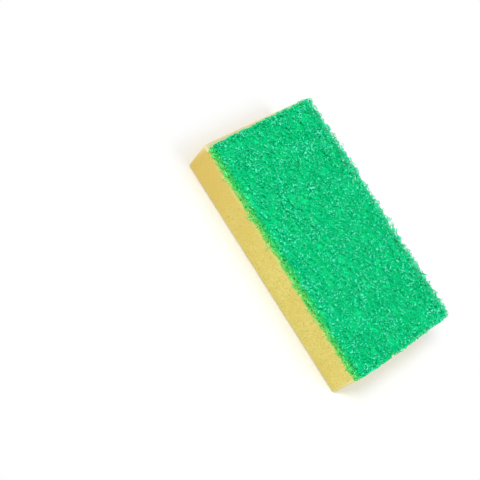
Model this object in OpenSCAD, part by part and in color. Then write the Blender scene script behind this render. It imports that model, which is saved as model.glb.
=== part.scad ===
// Cleaning sponge: a block of open-cell foam with a web of curled plastic strands bonded to its top.
// The two are laminated and then cut together, so their sides are close to flush.
// Origin at the middle of the underside, +X along the length, +Z up, millimetres.

/* [Sponge] */
// Length of the sponge
sponge_l = 140; // [110:1:160]
// Width of the sponge
sponge_w = 80; // [60:1:95]

/* [Foam block] */
// Thickness of the foam
foam_t = 18; // [12:0.5:30]
// Radius of the upright corners, where soft foam rounds off at the blade
corner_r = 1.5; // [0.5:0.1:4]
// Radius along the lower edges
edge_r = 0.8; // [0.3:0.1:2]
// How far the blade ran in under one end, which leaves the underside that much shorter
end_slant = 2.5; // [0:0.5:5]

/* [Scouring web] */
// Thickness of the web, from the foam to its highest curls
web_t = 8; // [6:0.5:12]
// Number of curls in a row along the length
curls_along = 29; // [18:1:29]
// Number of rows across the width
curl_rows = 19; // [12:1:20]
// Radius of an average curl, as a share of the distance between neighbours
curl_size = 0.32; // [0.2:0.01:0.36]
// Depth of the hollows in and between the curls
hollow_depth = 3.4; // [1:0.1:4.5]
// How far the cut edges fray back from the foam's sides
fray = 1.1; // [0.3:0.1:1.6]
// Depth of the hollows in the web's cut sides
side_depth = 1.3; // [0.3:0.1:2]
// How far the web stops short of the foam at the near corner of one end
short_near = 2.5; // [0:0.1:4]
// How far it stops short at the far corner of that end
short_far = 0.9; // [0:0.1:4]

/* [Hidden] */
foam_colour = "#EBD477";
web_colour = "#12C47E";
$fn = 64;

// A curl is a ridge of this many points round a lower middle point
ridge_n = 6;
curl_n = ridge_n + 1;
// Levels of points down the web's sides
side_levels = 4;
// How far a curl may lie from its place and differ in size, as shares, and how many degrees it may turn
place_spread = 0.08;
size_spread = 0.16;
turn_spread = 20;
// Direction of a curl's first ridge point in degrees, towards the first point of its border
first_way = 210;
// Least and most depth of a hollow, lean of a curl, drop of its crest and drop of the rim, as shares of
// hollow_depth
hollow_span = [0.6, 1];
lean_span = [0.3, 0.9];
crest_span = [0, 0.12];
rim_span = [0, 0.5];
// Least and most depth of a hollow in the cut sides, as shares of side_depth, and a curl's share of that
side_span = [0.5, 1];
side_curl = 0.3;
// Lengths of the two waves of the fray along a cut edge, and their shift in degrees for each millimetre up
fray_waves = [7.3, 4.7];
fray_shifts = [40, -65];
// Large uneven numbers that scramble a column, a row and a use into a number that looks random
scramble = [127.1, 311.7, 74.7];
scramble_scale = 43758.5453;

// Columns of points along a row's edge: two to a curl, because every other row is set half a curl along
columns = 2 * curls_along;
pitch_x = sponge_l / curls_along;
pitch_y = sponge_w / curl_rows;
edge_n = (columns + 1) * (curl_rows + 1);
pair_n = 2 * curls_along - 1;
all_curls = floor(curl_rows / 2) * pair_n + (curl_rows % 2) * curls_along;
rim_n = 2 * (columns + curl_rows);
// How far the zigzag edges between two rows swing to each side
zigzag = pitch_y / 6;

// Foam

// Outline from above: a rectangle with rounded corners
module foam_plan() {
    square([sponge_l, sponge_w - 2 * corner_r], center = true);
    square([sponge_l - 2 * corner_r, sponge_w], center = true);
    for (sx = [-1, 1], sy = [-1, 1])
        translate([sx * (sponge_l / 2 - corner_r), sy * (sponge_w / 2 - corner_r)]) circle(corner_r);
}

// Section of length l, with its lower corners rounded and its left end slanting in by s towards the bottom
module foam_section(l, s = 0) {
    tilt = atan2(s, foam_t);
    // The round touches the bottom and the slanting end, so its middle lies this far along the bottom
    round_x = s - l / 2 + edge_r * tan(45 - tilt / 2);
    touch = [round_x - edge_r * cos(tilt), edge_r * (1 - sin(tilt))];
    polygon([
        [round_x, 0], [l / 2 - edge_r, 0], [l / 2, edge_r], [l / 2, foam_t],
        [-l / 2, foam_t], touch
    ]);
    translate([round_x, edge_r]) circle(edge_r);
    translate([l / 2 - edge_r, edge_r]) circle(edge_r);
}

module foam_block() {
    color(foam_colour) intersection() {
        linear_extrude(foam_t) foam_plan();
        rotate([90, 0, 0]) linear_extrude(2 * sponge_w, center = true) foam_section(sponge_l, end_slant);
        rotate([90, 0, 90]) linear_extrude(2 * sponge_l, center = true) foam_section(sponge_w);
    }
}

// Scouring web

// A number from 0 to 1 that looks random but is always the same for the same column, row and use
function chance(i, j, use) =
    let (v = sin([i, j, use] * scramble) * scramble_scale) v - floor(v);

// The same, from -1 to 1
function swing(i, j, use) = 2 * chance(i, j, use) - 1;

// The same, from the first to the second number of span
function within(span, i, j, use) = span[0] + (span[1] - span[0]) * chance(i, j, use);

// How far the cut edge is frayed back at t along it and z up it, from 0 to 1
function frayed(t, z) =
    let (waves = [for (w = [0, 1]) sin(360 * t / fray_waves[w] + fray_shifts[w] * z)])
    (2 + waves[0] + waves[1]) / 4;

// A point of the web, drawn in from the sponge's sides by the fray, and at one end by how short it stops
function drawn_in(p) =
    let (
        across = (p[1] + sponge_w / 2) / sponge_w,
        short = short_near + (short_far - short_near) * across,
        end = p[0] < 0 ? fray * frayed(p[1], p[2]) + short : fray * frayed(p[1] + sponge_w, p[2]),
        side = fray * frayed(p[0] + (p[1] < 0 ? 0 : sponge_l), p[2])
    )
    [p[0] * (1 - 2 * end / sponge_l), p[1] * (1 - 2 * side / sponge_w), p[2] + foam_t];

// Height of a hollow
function hollow(i, j, use) = web_t - hollow_depth * within(hollow_span, i, j, use);

// Whether a place is on the rim
function on_rim(k, j) = k == 0 || k == columns || j == 0 || j == curl_rows;

// Height of the point of column k on the edge between rows j - 1 and j
function edge_height(k, j) =
    on_rim(k, j) ? web_t - hollow_depth * within(rim_span, k, j, 9) : hollow(k, j, 9);

// Place of the point of column k on the zigzag edge between rows j - 1 and j
function edge_xy(k, j) =
    let (tip = j == 0 || j == curl_rows ? 0 : (k + j) % 2 == 0 ? 1 : -1)
    [(k / columns - 0.5) * sponge_l, (j / curl_rows - 0.5) * sponge_w + tip * zigzag];

// Points of the curl that is number i of row j: its ridge, which leans to one side, and its middle
function curl_points(i, j) =
    let (
        x = (i + (j % 2 == 0 ? 0.5 : 1) + place_spread * swing(i, j, 1)) * pitch_x - sponge_l / 2,
        y = (j + 0.5 + place_spread * swing(i, j, 2)) * pitch_y - sponge_w / 2,
        size = curl_size * pitch_x * (1 + size_spread * swing(i, j, 3)),
        turn = turn_spread * swing(i, j, 4),
        high = 360 * chance(i, j, 5),
        lean = hollow_depth * within(lean_span, i, j, 6),
        top = web_t - hollow_depth * within(crest_span, i, j, 7)
    )
    [
        for (q = [0:ridge_n - 1])
            let (a = first_way + 360 * q / ridge_n + turn, away = (1 - cos(a - high)) / 2)
            [x + size * cos(a), y + size * sin(a), top - lean * away * away],
        [x, y, hollow(i, j, 8)]
    ];

// Point of the web's side so many levels below the rim at column k and row j: curls and hollows take turns
function side_point(k, j, level) =
    let (
        xy = edge_xy(k, j),
        out = [k == 0 ? -1 : k == columns ? 1 : 0, j == 0 ? -1 : j == curl_rows ? 1 : 0],
        kept = level == side_levels || (k + j + level) % 2 == 0 ? side_curl : 1,
        depth = side_depth * kept * within(side_span, k + level * rim_n, j, 10)
    )
    [xy[0] - out[0] * depth, xy[1] - out[1] * depth, edge_height(k, j) * (1 - level / side_levels)];

// Column and row of the point m steps round the rim
function rim_place(m) =
    m < columns ? [m, 0]
    : m < columns + curl_rows ? [columns, m - columns]
    : m < 2 * columns + curl_rows ? [2 * columns + curl_rows - m, curl_rows]
    : [0, rim_n - m];

function edge_index(k, j) = j * (columns + 1) + k;

function curl_index(i, j, q) =
    edge_n + curl_n * (floor(j / 2) * pair_n + (j % 2) * curls_along + i) + q;

// Level 0 is the rim of the top
function side_index(level, m) =
    let (p = rim_place(m % rim_n))
    level == 0 ? edge_index(p[0], p[1]) : edge_n + curl_n * all_curls + (level - 1) * rim_n + m % rim_n;

// Both halves of a four-sided patch, given anticlockwise as seen from outside
function halves(a, b, c, d) = [[a, c, b], [a, d, c]];

module scouring_web() {
    edges = [for (j = [0:curl_rows], k = [0:columns]) concat(edge_xy(k, j), edge_height(k, j))];
    curls = [for (j = [0:curl_rows - 1], i = [0:curls_along - 1 - j % 2]) each curl_points(i, j)];
    sides = [for (level = [1:side_levels], m = [0:rim_n - 1])
        let (p = rim_place(m)) side_point(p[0], p[1], level)];
    curl_faces = [for (j = [0:curl_rows - 1], i = [0:curls_along - 1 - j % 2])
        let (
            k = 2 * i + j % 2,
            border = [
                edge_index(k, j), edge_index(k + 1, j), edge_index(k + 2, j),
                edge_index(k + 2, j + 1), edge_index(k + 1, j + 1), edge_index(k, j + 1)
            ]
        )
        for (q = [0:ridge_n - 1])
            let (next = (q + 1) % ridge_n)
            each concat(
                halves(border[q], border[next], curl_index(i, j, next), curl_index(i, j, q)),
                [[curl_index(i, j, q), curl_index(i, j, ridge_n), curl_index(i, j, next)]]
            )];
    end_faces = [for (j = [1:2:curl_rows - 1], k = [0, columns - 1])
        each halves(edge_index(k, j), edge_index(k + 1, j),
            edge_index(k + 1, j + 1), edge_index(k, j + 1))];
    side_faces = [for (level = [0:side_levels - 1], m = [0:rim_n - 1])
        each halves(side_index(level + 1, m), side_index(level + 1, m + 1),
            side_index(level, m + 1), side_index(level, m))];
    underside = [for (m = [0:rim_n - 1]) side_index(side_levels, m)];
    color(web_colour) polyhedron(
        [for (p = concat(edges, curls, sides)) drawn_in(p)],
        concat(curl_faces, end_faces, side_faces, [underside]),
        convexity = 10
    );
}

foam_block();
scouring_web();
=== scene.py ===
# %% [markdown]
# # A cleaning sponge
# A kitchen sponge is two materials in one: a block of soft, pale yellow foam, and a springy web of curled
# green plastic strands that is bonded to its top and does the scouring. This lesson builds both at their
# real size, from numpy arrays, and lights them like a catalogue picture. The construction is already known:
# the frame holds a solid for the foam and one for the web, and the pieces made here take those solids'
# places.

import bpy
import numpy as np
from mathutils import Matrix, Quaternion, Vector


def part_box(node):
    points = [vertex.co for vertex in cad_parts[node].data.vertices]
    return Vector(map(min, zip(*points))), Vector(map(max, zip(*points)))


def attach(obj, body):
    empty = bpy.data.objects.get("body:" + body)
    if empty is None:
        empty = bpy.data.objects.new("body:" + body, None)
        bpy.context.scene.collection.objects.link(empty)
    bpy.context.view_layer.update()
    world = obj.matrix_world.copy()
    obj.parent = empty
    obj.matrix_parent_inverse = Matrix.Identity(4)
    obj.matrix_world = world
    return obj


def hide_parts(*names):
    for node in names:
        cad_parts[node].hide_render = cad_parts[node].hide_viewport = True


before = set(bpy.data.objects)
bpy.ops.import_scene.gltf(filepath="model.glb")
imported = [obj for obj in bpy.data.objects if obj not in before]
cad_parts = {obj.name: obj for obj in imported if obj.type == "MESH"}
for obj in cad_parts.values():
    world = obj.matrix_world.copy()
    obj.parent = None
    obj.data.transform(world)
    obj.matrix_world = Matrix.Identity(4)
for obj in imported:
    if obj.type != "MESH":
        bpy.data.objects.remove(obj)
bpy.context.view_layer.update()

# %% [markdown]
# ## The camera
# The picture looks down on the sponge from the side of its long foam face, with the camera rolled so that
# the length runs down to the right. The eye's place and the roll were found by fitting a box of the
# sponge's size to its corners in the photograph. A long lens keeps the edges nearly parallel.

# %% Camera
EYE = Vector((0.0195, -0.5009, 0.4755))
AIM = Vector((-0.0221, -0.0265, -0.0110))
ROLL = np.radians(54.04)
LENS = 97.5
SENSOR = 36

look = (AIM - EYE).normalized()
camera_data = bpy.data.cameras.new("camera")
camera_data.lens = LENS
camera_data.sensor_width = SENSOR
camera = bpy.data.objects.new("camera", camera_data)
camera.location = EYE
camera.rotation_mode = "QUATERNION"
camera.rotation_quaternion = look.to_track_quat("-Z", "Y") @ Quaternion((0, 0, 1), ROLL)
bpy.context.collection.objects.link(camera)
bpy.context.scene.camera = camera
print("camera at", tuple(EYE), "with a", LENS, "mm lens")

# %% [markdown]
# ## Sizes
# The two solids give the sponge's length, width and thicknesses, so nothing is typed twice. Everything in
# Blender is in metres, and a millimetre is the handiest unit to think in for something this small.

# %% Sizes from the frame
MM = 0.001
foam_low, foam_high = (np.array(corner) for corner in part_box("foam_block"))
HALF_L, HALF_W, FOAM_TOP = foam_high
WEB_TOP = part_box("scouring_web")[1][2]
print(f"foam {2 * HALF_L / MM:.0f} x {2 * HALF_W / MM:.0f} x {FOAM_TOP / MM:.0f} mm,",
      f"web to {WEB_TOP / MM:.1f} mm")

# %% [markdown]
# ## From arrays to a mesh
# A mesh is three flat lists: where the points are, which points each face uses, and where each face starts
# in that list. numpy can hand all three to Blender at once, which is hundreds of times faster than adding
# points one by one. A number for each point, such as a shade, can travel along as an attribute for the
# material.


# %% Mesh helper
def make_piece(name, points, quads, triangles=None, **attributes):
    """Makes an object from points (n, 3), four-sided faces (m, 4) and three-sided faces (k, 3).

    Each further argument is an attribute for the material, with one number for each point."""
    triangles = np.empty((0, 3), int) if triangles is None else triangles
    corners = np.concatenate([quads.ravel(), triangles.ravel()])
    sizes = np.concatenate([np.full(len(quads), 4), np.full(len(triangles), 3)])
    starts = np.concatenate([[0], np.cumsum(sizes)[:-1]])
    mesh = bpy.data.meshes.new(name)
    mesh.vertices.add(len(points))
    mesh.vertices.foreach_set("co", points.astype(np.float32).ravel())
    mesh.loops.add(len(corners))
    mesh.loops.foreach_set("vertex_index", corners.astype(np.int32))
    mesh.polygons.add(len(sizes))
    mesh.polygons.foreach_set("loop_start", starts.astype(np.int32))
    mesh.polygons.foreach_set("use_smooth", np.ones(len(sizes), bool))
    for key, values in attributes.items():
        mesh.attributes.new(key, "FLOAT", "POINT").data.foreach_set("value", values.astype(np.float32))
    mesh.update(calc_edges=True)
    mesh.validate()
    piece = bpy.data.objects.new(name, mesh)
    bpy.context.collection.objects.link(piece)
    print(name, "has", 2 * len(quads) + len(triangles), "triangles")
    return piece


# %% [markdown]
# ## A block of fine squares
# Foam looks soft because its edges are slightly round and its skin is never quite flat. Both need points
# all over the block, not just at its corners. A bevelled and subdivided cube would do, but a lattice worked
# out here has squares of one size all over. Each point near an edge is then pulled onto a small round: it
# keeps the nearest point of a smaller box inside, and goes out from there by the radius.


# %% Lattice of a box
def block_lattice(counts):
    """Points of a box from -1 to 1, as whole steps on each side, shared along the edges, and its squares.

    Each side is a grid of counts[a] by counts[b] squares. Points that two sides share are merged by their
    step numbers, so the box is closed."""
    squares = []
    for axis in range(3):
        a, b = (axis + 1) % 3, (axis + 2) % 3
        u, v = np.meshgrid(np.arange(counts[a]), np.arange(counts[b]), indexing="ij")
        for end in (0, counts[axis]):
            corner_steps = [(0, 0), (1, 0), (1, 1), (0, 1)] if end else [(0, 0), (0, 1), (1, 1), (1, 0)]
            square = np.empty((u.size, 4, 3), int)
            for corner, (du, dv) in enumerate(corner_steps):
                square[:, corner, axis] = end
                square[:, corner, a] = (u + du).ravel()
                square[:, corner, b] = (v + dv).ravel()
            squares.append(square)
    steps = np.concatenate(squares).reshape(-1, 3)
    keys = (steps[:, 0] * (counts[1] + 1) + steps[:, 1]) * (counts[2] + 1) + steps[:, 2]
    _, first, index = np.unique(keys, return_index=True, return_inverse=True)
    return 2 * steps[first] / np.array(counts) - 1, index.reshape(-1, 4)


# %% Rounded block
FEWEST_SQUARES = 4


def rounded_block(low, high, radius, pitch):
    """A closed box between two corners, with squares about pitch wide and its edges rounded.

    A point goes to q + radius * (p - q) / |p - q|, where q is the nearest point of the box that is smaller
    by the radius all round. Gives the points, the direction out of the block at each, and the squares."""
    size = high - low
    unit, quads = block_lattice([max(FEWEST_SQUARES, int(round(s / pitch))) for s in size])
    p = low + (unit + 1) / 2 * size
    q = np.clip(p, low + radius, high - radius)
    normal = (p - q) / np.linalg.norm(p - q, axis=1, keepdims=True)
    return q + radius * normal, normal, quads


# %% [markdown]
# ## Smooth noise on points
# Nothing here is perfectly even: the foam's faces wander by a tenth of a millimetre, the green light at its
# upper edge reaches down unevenly, and the glints of the web gather in patches. A texture could give such
# noise to a shader, but shapes need it on points. A sum of sine waves in random directions gives a gentle,
# seamless wander anywhere in space.

# %% Wander
WAVES = 24
WAVE_RANGE = (0.7, 1.5)


def wander(points, wavelength, seed):
    """Smooth noise from -1 to 1: the mean of sines of p . k + phase, in random directions k, scaled up.

    The length of k is 2 pi over the wavelength, which varies by the factors of WAVE_RANGE."""
    rng = np.random.default_rng(seed)
    direction = rng.normal(size=(WAVES, 3))
    direction /= np.linalg.norm(direction, axis=1, keepdims=True)
    k = direction * 2 * np.pi / (wavelength * rng.uniform(*WAVE_RANGE, (WAVES, 1)))
    total = np.sin(points @ k.T + rng.uniform(0, 2 * np.pi, WAVES)).sum(axis=1)
    return np.clip(total / np.sqrt(WAVES / 2) / 2, -1, 1)


# %% [markdown]
# ## Cells that the blade opened
# The block is cut from a big loaf of polyurethane foam, and here and there the blade opens a larger cell.
# The small cells are far finer than the squares of this mesh, so they are left to the material, and only
# the larger ones are dents in the mesh. Each cube of a grid in space gets one round dent at a random place,
# and the faces of the block cut through whichever dents lie there, as a blade does.

# %% Opened cells
CELL_SPACING = 7.5 * MM
CELL_LEAST = 0.4 * MM
CELL_SPREAD = 0.5 * MM
CUBES = 80


def open_cells(points, seed):
    """Depth of the larger cells at each point: round dents, one at a random place in each cube of a grid.

    The depth is (1 - (d / r) ** 2) * r, where d is how far the point is from the middle of the dent."""
    table = np.random.default_rng(seed).uniform(size=(CUBES, CUBES, CUBES, 4))
    cube = np.floor(points / CELL_SPACING).astype(int) + CUBES // 2
    depth = np.zeros(len(points))
    for shift in np.ndindex(3, 3, 3):
        near = cube + np.array(shift) - 1
        value = table[near[:, 0], near[:, 1], near[:, 2]]
        middle = (near - CUBES // 2 + value[:, :3]) * CELL_SPACING
        radius = CELL_LEAST + CELL_SPREAD * value[:, 3] ** 2
        away = np.linalg.norm(points - middle, axis=1) / radius
        depth = np.maximum(depth, np.clip(1 - away ** 2, 0, 1) * radius)
    return depth


# %% [markdown]
# ## The shape of the foam block
# The faces are flat with crisp but soft edges. The blade ran in under one end, so that end leans: it is
# shorter at the bottom and a little proud at the top. It is real foam through and through, with no cover
# that could crumple, so there is no cloth to simulate, and its softness is all in the rounds and the
# wander.

# %% Foam shape
FOAM_PITCH = 0.9 * MM
FOAM_EDGE = 0.9 * MM
END_SLANT = 2.5 * MM
TOP_PROUD = 0.7 * MM
LEAN_POWER = 8
FOAM_WANDER = 0.12 * MM
BOND = 0.1 * MM

foam_points, foam_normal, foam_quads = rounded_block(foam_low, foam_high, FOAM_EDGE, FOAM_PITCH)
leaning_share = np.clip(-foam_points[:, 0] / HALF_L, 0, 1) ** LEAN_POWER
height_share = foam_points[:, 2] / FOAM_TOP
foam_points[:, 0] += leaning_share * (END_SLANT * (1 - height_share) - TOP_PROUD * height_share)
foam_wander = wander(foam_points, wavelength=9 * MM, seed=3)
foam_sink = FOAM_WANDER * (1 + foam_wander) / 2 + open_cells(foam_points, seed=5)
foam_sink[foam_points[:, 2] > FOAM_TOP - BOND] = 0
foam_points -= foam_normal * foam_sink[:, None]
print(f"deepest opened cell {foam_sink.max() / MM:.2f} mm")

# %% [markdown]
# ## Where the web stops
# The web covers the foam's top from side to side, but at the leaning end it stops a little short and leaves
# a strip of bare foam, wider at one corner than at the other. The foam's colour needs to know where that
# strip lies, and so do the strands, so one function says it for both.

# %% Strip of bare foam
SHORT_NEAR = 3.4 * MM
SHORT_FAR = 1.4 * MM


def short_of_end(y):
    """How far the web stops short of the end at y: evenly from SHORT_NEAR at one corner to SHORT_FAR."""
    return SHORT_NEAR + (SHORT_FAR - SHORT_NEAR) * (y + HALF_W) / (2 * HALF_W)


bare = foam_points[:, 0] < -HALF_L + short_of_end(foam_points[:, 1])
print(bare.sum(), "foam points lie in the bare strip or below it")

# %% [markdown]
# ## Where the foam changes colour
# Thin foam along an edge lets light through and looks pale, so the edges get painted light, less of it
# towards the bottom, and the top edge of the bare strip gets it all along. Just below the web the foam gets
# painted green bounce light, lime, because the green strands colour the light that falls on it, and
# brightest right under the web. Both follow the shape, so they are measured on the points and travel with
# the mesh as attributes, instead of being drawn into a texture by hand.

# %% Foam tints and piece
PALE_WIDTH = 2.5 * MM
PALE_AT_BOTTOM = 0.2
LIME_HEIGHT = 2.4 * MM
LIME_SPREAD = 0.6
UNDER_WEB = 0.3 * MM
DEEP_DENT = 0.6 * MM

below_web = FOAM_TOP - foam_points[:, 2]
from_faces = np.stack([HALF_L - np.abs(foam_points[:, 0]), HALF_W - np.abs(foam_points[:, 1]),
                       foam_points[:, 2]])
# Painted light: the foam is paler near its edges, where it is thin
pale = np.clip(1 - np.sort(from_faces, axis=0)[1] / PALE_WIDTH, 0, 1)
lime_height = LIME_HEIGHT * (1 + LIME_SPREAD * wander(foam_points, wavelength=5 * MM, seed=9))
# Painted green bounce light: lime just below the web, down to an uneven height
near_web = np.clip(1 - below_web / lime_height, 0, 1) * ~bare
# The painted edge light gives way to the green bounce light, and is weaker towards the bottom
pale *= (1 - near_web) * (PALE_AT_BOTTOM + (1 - PALE_AT_BOTTOM) * foam_points[:, 2] / FOAM_TOP)
# The top edge of the bare strip gets the painted edge light in full, all along
pale[bare & (foam_points[:, 2] > FOAM_TOP - FOAM_EDGE)] = 1
# Painted green bounce light, strongest right under the web
under_web = np.clip(1 - below_web / UNDER_WEB, 0, 1) * ~bare
foam = make_piece("foam", foam_points, foam_quads, dent=np.clip(foam_sink / DEEP_DENT, 0, 1),
                  pale=pale, near_web=near_web, under_web=under_web)

# %% [markdown]
# ## Strands that loop
# The web is made by letting hot plastic strands fall onto a moving belt: each one buckles into loops, and
# the loops of all of them weld together into a springy mat. Hair particles could imitate it, but they are
# not a mesh that can be exported. So a strand's centre line is worked out here: a circle whose middle
# travels along, in a plane that is tipped a little, with the radius swelling and shrinking as it goes.

# %% Centre lines
LOOPS = 3
STEPS = 7
TIP = np.radians(45)
SWELL = 0.25
SWELLS_PER_LOOP = 0.41
BEND = 0.35
LIFT = 0.35


def looped_paths(start, radius, advance, rng):
    """Centre lines of looped strands, as an array (strands, points, 3), and the normals of their planes.

    For turn s: start + (advance * s + r * cos(2 pi s)) * e1 + (bend * s * s + r * sin(2 pi s)) * e2.
    Here e1 and e2 span the strand's own tipped plane, and the radius r swells and shrinks by a quarter.
    Each loop also rises out of the plane and sinks below it by a wave of LIFT * r."""
    count = len(start)
    lean = rng.normal(0, TIP, count)
    lean_way = rng.uniform(0, 2 * np.pi, count)
    normal = np.stack([np.sin(lean) * np.cos(lean_way), np.sin(lean) * np.sin(lean_way), np.cos(lean)],
                      axis=1)
    heading = rng.uniform(0, 2 * np.pi, count)
    e1 = np.stack([np.cos(heading), np.sin(heading), np.zeros(count)], axis=1)
    e1 -= normal * (e1 * normal).sum(axis=1, keepdims=True)
    e1 /= np.linalg.norm(e1, axis=1, keepdims=True)
    e2 = np.cross(normal, e1)
    s = np.linspace(-LOOPS / 2, LOOPS / 2, LOOPS * STEPS + 1)[None, :]
    swell = 1 + SWELL * np.sin(2 * np.pi * SWELLS_PER_LOOP * s + rng.uniform(0, 2 * np.pi, (count, 1)))
    r = radius[:, None] * swell
    turn = 2 * np.pi * s + rng.uniform(0, 2 * np.pi, (count, 1))
    along = advance[:, None] * s + r * np.cos(turn)
    bend = rng.normal(0, BEND, (count, 1)) * advance[:, None]
    across = bend * s * s + r * np.sin(turn)
    lift = LIFT * r * np.sin(turn * 0.5 + rng.uniform(0, 2 * np.pi, (count, 1)))
    paths = (start[:, None] + along[..., None] * e1[:, None] + across[..., None] * e2[:, None]
             + lift[..., None] * normal[:, None])
    return paths, normal


# %% [markdown]
# ## From a line to a strand
# A strand is round, but at less than half a millimetre nobody can count its sides, and there are thousands
# of strands. A three-sided tube is enough to catch light on one side and shade on the other. A curve with a
# bevel would make the same shape, only slower and with less say over each point's thickness.

# %% Tubes along the centre lines
TUBE_SIDES = 3
TINY = 1e-9


def tubes(paths, normal, thickness):
    """A closed tube round each path: a ring of points square to the path at each of its points.

    The ring is p + thickness / 2 * (cos(a) * u + sin(a) * v), where u is the path's direction crossed with
    the plane's normal, and v is the direction crossed with u. Gives points, squares and triangular caps."""
    count, length = paths.shape[:2]
    ahead = np.gradient(paths, axis=1)
    ahead /= np.maximum(np.linalg.norm(ahead, axis=2, keepdims=True), TINY)
    u = np.cross(ahead, normal[:, None])
    u /= np.maximum(np.linalg.norm(u, axis=2, keepdims=True), TINY)
    v = np.cross(ahead, u)
    angle = 2 * np.pi * np.arange(TUBE_SIDES) / TUBE_SIDES
    ring = np.cos(angle)[:, None] * u[:, :, None] + np.sin(angle)[:, None] * v[:, :, None]
    points = paths[:, :, None] + thickness[:, :, None, None] / 2 * ring
    number = np.arange(count * length * TUBE_SIDES).reshape(count, length, TUBE_SIDES)
    turned = np.roll(number, -1, axis=2)
    quads = np.stack([number[:, :-1], turned[:, :-1], turned[:, 1:], number[:, 1:]], axis=-1).reshape(-1, 4)
    caps = np.concatenate([number[:, 0, ::-1], number[:, -1]])
    return points.reshape(-1, 3), quads, caps


# %% [markdown]
# ## Cut edges
# The laminated sheet is cut into sponges, so loops that would reach past the blade stop at the cut, a
# little raggedly. But a springy web doesn't end where the blade went. On the far long side loops stand out
# past the foam, on the near one some hang over its edge, and at the full end the web bulges by about a
# millimetre everywhere but at the near corner. Clipping each point to such limits gives all of that.

# %% Keep within the cut faces
FAR_FRINGE = 2.7 * MM
NEAR_FRINGE = 1.2 * MM
DROOP = 1.3 * MM
RAGGED = 1.4 * MM
SHORT_RAGGED = 0.6
FULL_RAGGED = 0.35
END_PROUD = 1.3 * MM
END_RISE = 25 * MM
CORNER_PROUD = 0.25


def trimmed(paths, thickness, rng):
    """Clips each point to the web's ends, sides, top and bottom, each strand at its own ragged cut.

    At the full end the limit is END_PROUD times how far y is along END_RISE from the near corner, at least
    CORNER_PROUD of it. Only a point that is clear of the foam's side may hang lower than the foam's top."""
    half = thickness[:, None] / 2
    ragged = rng.uniform(0, RAGGED, (3, len(paths), 1))
    proud = END_PROUD * np.clip((paths[..., 1] + HALF_W) / END_RISE, CORNER_PROUD, 1)
    x = np.clip(paths[..., 0], -HALF_L + short_of_end(paths[..., 1]) - SHORT_RAGGED * RAGGED + ragged[0],
                HALF_L + proud - half - FULL_RAGGED * ragged[1])
    y = np.clip(paths[..., 1], -HALF_W - NEAR_FRINGE + ragged[2], HALF_W + FAR_FRINGE)
    lowest = np.where(np.abs(y) > HALF_W + half, FOAM_TOP - DROOP, FOAM_TOP + half)
    z = np.clip(paths[..., 2], lowest, WEB_TOP - half)
    return np.stack([x, y, z], axis=-1)


# %% [markdown]
# ## A piece of the web
# What the eye gets from such a mat is mostly glints: a crest that faces a lamp shines, and a blurred lamp
# makes the strand look thicker there. At this size a highlight would be finer than a pixel, so the glints
# are
# painted highlights: single points of a strand near the outside of the web are swelled and get a pale tint.
# The loops along the far side and the short end stand free, and light comes through them, so they get a
# paler tint too, as painted light.

# %% Strand piece
STRAND = 0.40 * MM
WIDEST = 1.05 * MM
RADIUS_SHARE = (0.45, 0.95)
ADVANCE = (0.7 * MM, 1.6 * MM)
THICKNESS_SHARE = (0.8, 1.2)
GLINT_SHARE = 0.13
GLINT_PATCHES = 0.6
GLINT_SWELL = 1.5
GLINT_DEPTH = 2.2 * MM
GLINT_EDGE = 0.35
# Painted light through the free loops reaches this far in
RIM = 3.0 * MM


def strand_piece(name, start, seed, widest=WIDEST):
    """One piece of the web: looped strands that begin at these places, with loops up to widest in radius.

    A point's painted glint is ((c - 1 + share) / share) ** GLINT_EDGE for a random c from 0 to 1, so that a
    share of the points have one. It fades from half of GLINT_DEPTH below the web's outside to all of it.
    The painted rim light goes from 1 at the far side or the short end to 0 at RIM from it. Tone is one
    random number per strand."""
    rng = np.random.default_rng(seed)
    count = len(start)
    radius = rng.uniform(RADIUS_SHARE[0] * widest, RADIUS_SHARE[1] * widest, count)
    advance = rng.uniform(*ADVANCE, count)
    thickness = STRAND * rng.uniform(*THICKNESS_SHARE, count)
    paths, normal = looped_paths(start, radius, advance, rng)
    paths = trimmed(paths, thickness, rng)
    x, y, z = np.moveaxis(paths, -1, 0)
    crest = rng.uniform(size=x.shape)
    inside = np.minimum(np.minimum(HALF_L - np.abs(x), HALF_W - np.abs(y)), WEB_TOP - z)
    outer = np.clip(2 * (1 - inside / GLINT_DEPTH), 0, 1)
    patches = wander(start, wavelength=12 * MM, seed=13)[:, None]
    share = GLINT_SHARE * (1 + GLINT_PATCHES * patches)
    # Painted highlights: a share of single points near the web's outside get a pale tint and swell
    glint = outer * np.clip((crest - 1 + share) / share, 0, 1) ** GLINT_EDGE
    # Painted light through the free loops, from the far side and the short end inwards
    rim = np.clip(1 - np.minimum(HALF_L + x, HALF_W - y) / RIM, 0, 1)
    tone = np.broadcast_to(rng.uniform(size=count)[:, None], x.shape)
    points, quads, caps = tubes(paths, normal, thickness[:, None] * (1 + GLINT_SWELL * glint))
    shades = {key: np.repeat(values.ravel(), TUBE_SIDES)
              for key, values in (("glint", glint), ("tone", tone), ("rim", rim))}
    return make_piece(name, points, quads, caps, **shades)


# %% [markdown]
# ## Where strands begin
# Purely random places would leave bald patches and lumps. A jittered grid has one random place in each of
# its squares, so it is even without looking regular. Most strands fill the upper layers, the rest fill the
# cut sides down to the foam, and two fringes hang over the long sides.


# %% Scattered places
def scattered(count, low, high, rng):
    """Random places in a box, one in each square of an even grid seen from above: (i + random) / n."""
    size = high - low
    pitch = np.sqrt(size[0] * size[1] / count)
    nx, ny = max(1, int(size[0] / pitch)), max(1, int(size[1] / pitch))
    i, j = np.meshgrid(np.arange(nx), np.arange(ny), indexing="ij")
    spread = rng.uniform(size=(nx * ny, 3))
    spread[:, 0] = (i.ravel() + spread[:, 0]) / nx
    spread[:, 1] = (j.ravel() + spread[:, 1]) / ny
    return low + spread * size


# %% Boxes that strands begin in
EDGE_DEPTH = 4.5 * MM
EDGE_LOW, EDGE_HIGH = FOAM_TOP + 0.4 * MM, WEB_TOP - 2 * MM
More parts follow.
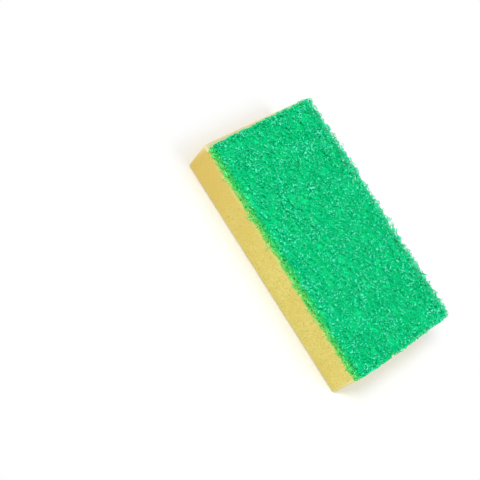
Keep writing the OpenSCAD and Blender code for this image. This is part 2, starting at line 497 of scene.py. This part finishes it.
# How many strands begin in each box, and the box's low and high corner. "Short" is the leaning end.
START_BOXES = {
    "top": (4700, (-HALF_L + 2 * MM, -HALF_W + 1 * MM, WEB_TOP - 3 * MM),
            (HALF_L - 0.1 * MM, HALF_W - 1.8 * MM, WEB_TOP - 0.9 * MM)),
    "near side": (560, (-HALF_L, -HALF_W, EDGE_LOW), (HALF_L, -HALF_W + EDGE_DEPTH, EDGE_HIGH)),
    "far side": (430, (-HALF_L, HALF_W - EDGE_DEPTH, EDGE_LOW), (HALF_L, HALF_W - 0.8 * MM, EDGE_HIGH)),
    "short end": (260, (-HALF_L + 1 * MM, -HALF_W, EDGE_LOW), (-HALF_L + EDGE_DEPTH, HALF_W, EDGE_HIGH)),
    "full end": (280, (HALF_L - EDGE_DEPTH, -HALF_W, EDGE_LOW), (HALF_L + 0.5 * MM, HALF_W, EDGE_HIGH)),
    "far fringe": (340, (-HALF_L + 2.5 * MM, HALF_W - 0.8 * MM, WEB_TOP - 4.5 * MM),
                   (HALF_L - 0.6 * MM, HALF_W + 1.2 * MM, WEB_TOP - 1.2 * MM)),
    "near fringe": (260, (-HALF_L + 3 * MM, -HALF_W - 0.5 * MM, FOAM_TOP - 0.5 * MM),
                    (HALF_L - 1 * MM, -HALF_W + 0.6 * MM, WEB_TOP - 4 * MM)),
}
place_rng = np.random.default_rng(11)
starts = {}
for place, (count, low, high) in START_BOXES.items():
    starts[place] = scattered(count, np.array(low), np.array(high), place_rng)
    if place == "top":
        # The top is split over several pieces, and each of them should cover all of it
        place_rng.shuffle(starts[place])
    print(place, "has", len(starts[place]), "strands")

# %% [markdown]
# ## The web's strands
# About 6,500 strands with three loops each make the part of the web that can be seen. The top is shuffled
# and split over four pieces, to keep each one light, so every one of the four is a thin layer over the
# whole top.

# %% Strands
TOP_PIECES = 4
FRINGE_WIDEST = 1.2 * MM
sides = np.concatenate([starts[place] for place in ("near side", "far side", "short end", "full end")])
strands = [strand_piece(f"web_strands_{i + 1}", part, seed=20 + i)
           for i, part in enumerate(np.array_split(starts["top"], TOP_PIECES))]
strands.append(strand_piece("web_strands_5", sides, seed=30))
strands.append(strand_piece("web_fringe_far", starts["far fringe"], seed=31, widest=FRINGE_WIDEST))
strands.append(strand_piece("web_fringe_near", starts["near fringe"], seed=32))

# %% [markdown]
# ## The deep tangle
# Below the loops that can be told apart, the web is a tangle in its own green half-light. More strands
# would cost a million triangles that nobody sees, so a rough block in the middle of the mat stands for
# them. It is set back from the sides, and sheared at the leaning end, so that it never shows past the
# strands.

# %% Deep tangle
TANGLE_EDGE = 1.2 * MM
TANGLE_PITCH = 1.0 * MM
TANGLE_DEPTH = 1.1 * MM
tangle_low = np.array([-HALF_L + 1.2 * MM, -HALF_W + 0.9 * MM, FOAM_TOP + 0.02 * MM])
tangle_high = np.array([HALF_L - 1.2 * MM, HALF_W - 2.8 * MM, WEB_TOP - 1.8 * MM])
tangle_points, tangle_normal, tangle_quads = rounded_block(tangle_low, tangle_high, TANGLE_EDGE,
                                                           TANGLE_PITCH)
tangle_sink = TANGLE_DEPTH * (1 + wander(tangle_points, wavelength=1.8 * MM, seed=7)) / 2
tangle_sink[tangle_points[:, 2] < FOAM_TOP + BOND] = 0
tangle_points -= tangle_normal * tangle_sink[:, None]
tangle_points[:, 0] += short_of_end(tangle_points[:, 1]) * (HALF_L - tangle_points[:, 0]) / (2 * HALF_L)
# Painted shade: the tangle is darker where its surface sinks in
tangle = make_piece("web_tangle", tangle_points, tangle_quads, tone=1 - tangle_sink / TANGLE_DEPTH)

# %% [markdown]
# ## Colours and nodes
# Colours are picked as sRGB hex values, the way a screen shows them, but the renderer counts in linear
# light, so one function converts them. Another adds a shader node, sets its values and joins it up in one
# line.


# %% Colour and node helpers
def linear(hex_colour):
    """sRGB hex to linear RGBA: c / 12.92 below 0.04045, otherwise ((c + 0.055) / 1.055) ** 2.4."""
    c = np.array([int(hex_colour[i:i + 2], 16) for i in (1, 3, 5)]) / 255
    values = np.where(c < 0.04045, c / 12.92, ((c + 0.055) / 1.055) ** 2.4)
    return (*values.tolist(), 1.0)


def add_node(tree, kind, inputs=None, **settings):
    """Adds a node. Settings are its own options, and inputs are values of sockets or outputs to join."""
    node = tree.nodes.new(kind)
    for key, value in settings.items():
        setattr(node, key, value)
    for key, value in (inputs or {}).items():
        if isinstance(value, bpy.types.NodeSocket):
            tree.links.new(value, node.inputs[key])
        else:
            node.inputs[key].default_value = value
    return node


def new_material(name):
    """A material with no nodes yet, and its node tree."""
    material = bpy.data.materials.new(name)
    material.use_nodes = True
    material.node_tree.nodes.clear()
    return material, material.node_tree


# %% [markdown]
# ## Tints in layers
# Both finishes are a plain colour with tints over it, each where something on the real thing changes: an
# opened cell, a paler edge, a glint. That is a list, so it is written as one, and a loop turns each line
# into nodes. One line of a list is easier to read, and to tune, than two nodes and their links.

# %% Tint layers
EVEN, EASED = "LINEAR", "SMOOTHSTEP"


def tinted(tree, colour, layers):
    """Lays tints over a colour, one after the other, and gives the output that holds the last colour.

    Each layer is (value, low, high, share, ease, tint). Its factor goes from 0 where the value is at low to
    share where it is at high, and the colour so far goes to the tint by that factor."""
    for value, low, high, share, ease, tint in layers:
        factor = add_node(tree, "ShaderNodeMapRange", {
            "Value": value, "From Min": low, "From Max": high, "To Max": share,
        }, interpolation_type=ease).outputs["Result"]
        colour = add_node(tree, "ShaderNodeMix", {0: factor, 6: colour, 7: linear(tint)},
                          data_type="RGBA").outputs[2]
    return colour


# %% [markdown]
# ## Foam
# The block is polyurethane foam, cut by a blade and left bare. It is matt, with a roughness near 1, and
# slightly see-through: light goes in, scatters between the cell walls and comes out again, which makes it
# look soft and even. A little sheen does the same here, at far less cost than scattering inside. Its IOR of
# 1.5, that of polyurethane, is what the shader starts with. At arm's length the cells read as a fine grain,
# with painted shade in the middle of each cell, where its hollow lies, and a darker dot of painted shade
# where the blade opened a larger one. The dents in the mesh get painted shade too. Light is painted on as
# well: paler edges, green bounce light below the web, and warm reflected light towards the leaning end.

# %% Foam material
# Real cells are 0.3 to 0.8 mm across. They are drawn at 0.8 mm, the coarsest, so that the grain shows.
GRAIN = 0.8 * MM
# Larger cells lie a few millimetres apart, and the foam's colour drifts over a centimetre or two
DOTS = 2.3 * MM
CLOUDS = 14 * MM
RELIEF = 0.15 * MM


def foam_material():
    """Polyurethane foam: two cell patterns give grain and dots, painted shade in the cells' hollows, and
    the bump's height is grain - dots.
    """
    material, tree = new_material("cut_polyurethane_foam")
    place = add_node(tree, "ShaderNodeTexCoord").outputs["Object"]
    along = add_node(tree, "ShaderNodeSeparateXYZ", {0: place}).outputs["X"]
    dent, pale_edge, by_web, below = (
        add_node(tree, "ShaderNodeAttribute", attribute_name=name).outputs["Fac"]
        for name in ("dent", "pale", "near_web", "under_web")
    )
    cloud = add_node(tree, "ShaderNodeTexNoise", {"Vector": place, "Scale": 1 / CLOUDS, "Detail": 3.0})
    patterns = []
    for size, low, high in ((GRAIN, 0.15, 0.75), (DOTS, 0.22, 0.10)):
        cells = add_node(tree, "ShaderNodeTexVoronoi", {"Vector": place, "Scale": 1 / size})
        patterns.append(add_node(tree, "ShaderNodeMapRange", {
            "Value": cells.outputs["Distance"], "From Min": low, "From Max": high,
        }, interpolation_type=EASED).outputs["Result"])
    grain, dots = patterns
    colour = tinted(tree, linear("#DBC964"), [
        # value, low, high, share, ease, tint
        (cloud.outputs["Fac"], 0.35, 0.65, 1.0, EASED, "#DFD172"),
        # Painted shade: each fine cell is darker in its middle, where its hollow lies
        (grain, 1, 0, 1.0, EVEN, "#D2BC58"),
        # Painted shade in the hollows of the larger opened cells
        (dots, 0, 1, 1.0, EVEN, "#C9A544"),
        # Painted shade in the dents that the opened cells leave in the mesh
        (dent, 0.35, 1.0, 1.0, EASED, "#C09C40"),
        # Painted warm reflected light: the foam turns more orange towards the leaning end
        (along, 0, -HALF_L, 0.8, EASED, "#D5B658"),
        # Painted light on the thin edges
        (pale_edge, 0, 1, 0.7, EVEN, "#F2E8C4"),
        # Painted green bounce light, lime just below the web
        (by_web, 0, 1, 0.6, EVEN, "#C4E48C"),
        # Painted green bounce light, brightest right under the web
        (below, 0, 1, 1.0, EVEN, "#D0F890"),
    ])
    relief = add_node(tree, "ShaderNodeMath", {0: grain, 1: dots}, operation="SUBTRACT").outputs[0]
    bump = add_node(tree, "ShaderNodeBump", {"Height": relief, "Strength": 0.5, "Distance": RELIEF})
    shader = add_node(tree, "ShaderNodeBsdfPrincipled", {
        "Base Color": colour, "Roughness": 0.95, "Specular IOR Level": 0.15, "Sheen Weight": 0.2,
        "Sheen Roughness": 0.6, "Normal": bump.outputs["Normal"],
    })
    add_node(tree, "ShaderNodeOutputMaterial", {"Surface": shader.outputs[0]})
    return material


# %% [markdown]
# ## Strand plastic
# The strands are extruded polypropylene, dyed through in a strong green and left as they set, so their skin
# is smooth: an IOR of 1.49 and a roughness of 0.2 are typical of it. Each strand is thinner than half a
# millimetre, so what the eye gets is glints on the crests, clear green on the flanks and a deeper green in
# the gaps. The shader's own shine is kept very low, because painted glints stand for it. Strands differ a
# little in shade at random. Near the foam they get painted lime light, for the yellow light that the foam
# sends up through them, and the free loops at the far side and the short end get paler painted light. In
# the tangle light is lost between many strands, so it is drawn rough, with painted shade in its gaps.

# %% Strand material
# The dye's shade drifts over about a centimetre of the mat
PATCHES = 9 * MM
# Gaps between strands are 0.5 to 1.5 mm wide. They are drawn at 1.5 mm, the coarsest, so that they show.
MESHES = 1.5 * MM
MESH_RELIEF = -0.4 * MM


def strand_material(name, dark, light, roughness, net=0.0):
    """Polypropylene strands: each strand's random shade, or in the tangle painted shade, goes from dark to
    light, and tints lie over it.

    The last argument is how strongly dark hollows, like the gaps between strands, are painted as shade in
    the colour and sunk in the bump."""
    material, tree = new_material(name)
    place = add_node(tree, "ShaderNodeTexCoord").outputs["Object"]
    height = add_node(tree, "ShaderNodeSeparateXYZ", {0: place}).outputs["Z"]
    tone, glint, rim = (
        add_node(tree, "ShaderNodeAttribute", attribute_name=name).outputs["Fac"]
        for name in ("tone", "glint", "rim")
    )
    patches = add_node(tree, "ShaderNodeTexNoise", {"Vector": place, "Scale": 1 / PATCHES, "Detail": 2.0})
    layers = [
        # value, low, high, share, ease, tint
        (tone, 0, 1, 1.0, EVEN, light),
        (patches.outputs["Fac"], 0.3, 0.7, 0.3, EASED, "#00E890"),
        # Painted light through the free loops at the far side and the short end
        (rim, 0, 1, 0.6, EVEN, "#58FFC8"),
        # Painted highlights on single points near the outside of the web
        (glint, 0, 1, 1.0, EVEN, "#68FFDC"),
        # Painted yellow light from the foam: strands turn lime near it
        (height, FOAM_TOP + 7 * MM, FOAM_TOP + 1 * MM, 0.7, EASED, "#44FF5C"),
        # Paler painted lime light right on the foam, more on some strands than on others
        (height, FOAM_TOP + 4.5 * MM, FOAM_TOP, tone, EASED, "#D4FF9C"),
    ]
    surface = {"Roughness": roughness, "IOR": 1.49, "Specular IOR Level": 0.06}
    if net:
        cells = add_node(tree, "ShaderNodeTexVoronoi", {"Vector": place, "Scale": 1 / MESHES},
                         feature="DISTANCE_TO_EDGE")
        meshes = add_node(tree, "ShaderNodeMapRange", {
            "Value": cells.outputs["Distance"], "From Min": 0.05, "From Max": 0.3,
        }, interpolation_type=EASED).outputs["Result"]
        # Painted shade: the gaps between the tangle's strands are darkened, and the bump sinks them
        layers.insert(1, (meshes, 0, 1, net, EVEN, "#029860"))
        bump = add_node(tree, "ShaderNodeBump",
                        {"Height": meshes, "Strength": net, "Distance": MESH_RELIEF})
        surface["Normal"] = bump.outputs["Normal"]
    surface["Base Color"] = tinted(tree, linear(dark), layers)
    shader = add_node(tree, "ShaderNodeBsdfPrincipled", surface)
    add_node(tree, "ShaderNodeOutputMaterial", {"Surface": shader.outputs[0]})
    return material


# %% [markdown]
# ## Dress the pieces
# Each piece gets its material and the body that it moves with, and the solid that it stands for is hidden.
# The strands have one finish in three shades, which are painted shade and light: the loops of the far
# fringe start from a darker green, as they shade each other, and the tangle starts from a slightly lighter
# green, to lift the half-light of all the strands round it.

# %% Materials and places
foam.data.materials.append(foam_material())
green = strand_material("extruded_polypropylene", "#04D890", "#08E8A1", roughness=0.2)
# Painted shade: the far fringe's copy starts from a darker green
shaded_green = strand_material("extruded_polypropylene_fringe", "#04B880", "#08E4A0", roughness=0.2)
# Painted light and shade: the tangle's copy starts from a lighter green, and its gaps are painted dark
deep_green = strand_material("extruded_polypropylene_tangle", "#05DE95", "#09F0A4", roughness=0.7, net=0.2)
for piece in strands:
    piece.data.materials.append(shaded_green if piece.name == "web_fringe_far" else green)
tangle.data.materials.append(deep_green)
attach(foam, "root")
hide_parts("foam_block")
for piece in [*strands, tangle]:
    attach(piece, "root")
    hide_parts("scouring_web")
print(len(strands) + 2, "pieces ride on the root")

# %% [markdown]
# ## Rays from the eye
# A catalogue picture stands on a white sweep. Enough light to make a pale floor pure white would bleach the
# sponge too, so the white is shown only to rays that come from the eye, and the light that falls on the
# sponge stays soft and plain. Light Path tells the two kinds of ray apart.


# %% Light Path helper
def eye_rays(tree):
    """1 for a ray from the eye, straight or by way of gloss or glass, otherwise 0.

    It is the greatest of the three numbers, 0 or 1, that Light Path gives for such rays."""
    path = add_node(tree, "ShaderNodeLightPath").outputs
    seen = path["Is Camera Ray"]
    for kind in ("Is Glossy Ray", "Is Transmission Ray"):
        seen = add_node(tree, "ShaderNodeMath", {0: seen, 1: path[kind]}, operation="MAXIMUM").outputs[0]
    return seen


# %% [markdown]
# ## The floor
# The floor is a sheet of matt white paper, with a roughness of 0.9, as paper has no shine. It keeps the
# sponge's soft shadow close by, and turns to plain white a little further out. How far a place is from the
# sponge is the length of what |x| and |y| exceed its half sizes by, so the shadow fades out evenly all
# round.

# %% Floor
FLOOR_HALF = 3.0
SHADOW_REACH = 22 * MM

floor_points = np.array([[-1, -1, 0], [1, -1, 0], [1, 1, 0], [-1, 1, 0]]) * FLOOR_HALF
floor = make_piece("floor", floor_points, np.array([[0, 1, 2, 3]]))
floor_paint, tree = new_material("matt_paper_sweep")
away = add_node(tree, "ShaderNodeTexCoord").outputs["Object"]
for operation, second in (("ABSOLUTE", {}), ("SUBTRACT", {1: (HALF_L, HALF_W, 0)}),
                          ("MAXIMUM", {1: (0, 0, 0)})):
    away = add_node(tree, "ShaderNodeVectorMath", {0: away, **second}, operation=operation).outputs[0]
reach = add_node(tree, "ShaderNodeVectorMath", {0: away}, operation="LENGTH").outputs["Value"]
far_white = add_node(tree, "ShaderNodeMapRange", {
    "Value": reach, "From Min": 0, "From Max": SHADOW_REACH, "To Max": eye_rays(tree),
}, interpolation_type=EASED)
paint = add_node(tree, "ShaderNodeBsdfPrincipled", {
    "Base Color": linear("#F7F7F7"), "Roughness": 0.9, "Specular IOR Level": 0.1,
})
white = add_node(tree, "ShaderNodeEmission", {"Color": (1, 1, 1, 1), "Strength": 1.0})
floor_mix = add_node(tree, "ShaderNodeMixShader",
                     {0: far_white.outputs["Result"], 1: paint.outputs[0], 2: white.outputs[0]})
add_node(tree, "ShaderNodeOutputMaterial", {"Surface": floor_mix.outputs[0]})
floor.data.materials.append(floor_paint)

# %% [markdown]
# ## Light from all round
# Most of the light comes evenly from all round, as in a tent of white cloth, at a level that shows colours
# about as they are written. The eye sees that tent as white. A photograph of a studio, wrapped round the
# scene, would do as well, but plain white needs no file and leaves no odd reflections.

# %% World
SKY_LIGHT = 0.55

scene = bpy.context.scene
scene.view_settings.view_transform = "Standard"
world = bpy.data.worlds.new("studio")
world.use_nodes = True
sky_tree = world.node_tree
sky_tree.nodes.clear()
strength = add_node(sky_tree, "ShaderNodeMath", {0: eye_rays(sky_tree), 1: 1 - SKY_LIGHT, 2: SKY_LIGHT},
                    operation="MULTIPLY_ADD")
sky = add_node(sky_tree, "ShaderNodeBackground", {"Color": (1, 1, 1, 1), "Strength": strength.outputs[0]})
add_node(sky_tree, "ShaderNodeOutputWorld", {"Surface": sky.outputs[0]})
scene.world = world
print("sky light", SKY_LIGHT)

# %% [markdown]
# ## Soft boxes
# Two big square lamps above give the light a direction, so that the strands have a bright and a shaded side
# and the sponge throws a soft shadow. The larger and closer a lamp is, the softer its shadow. A sun lamp
# would be simpler, but its shadow would have a hard edge.


# %% Lamps
def soft_box(name, place, size, power):
    """A square area lamp of that size in metres and power in watts at place, turned to the sponge."""
    data = bpy.data.lights.new(name, "AREA")
    data.shape = "SQUARE"
    data.size = size
    data.energy = power
    lamp = bpy.data.objects.new(name, data)
    lamp.location = place
    lamp.rotation_mode = "QUATERNION"
    lamp.rotation_quaternion = (-Vector(place)).to_track_quat("-Z", "Y")
    bpy.context.collection.objects.link(lamp)
    print(name, "lamp of", power, "W")


soft_box("key", (-0.5, -0.9, 1.3), size=0.5, power=14)
soft_box("fill", (0.9, 0.3, 1.1), size=0.9, power=7)
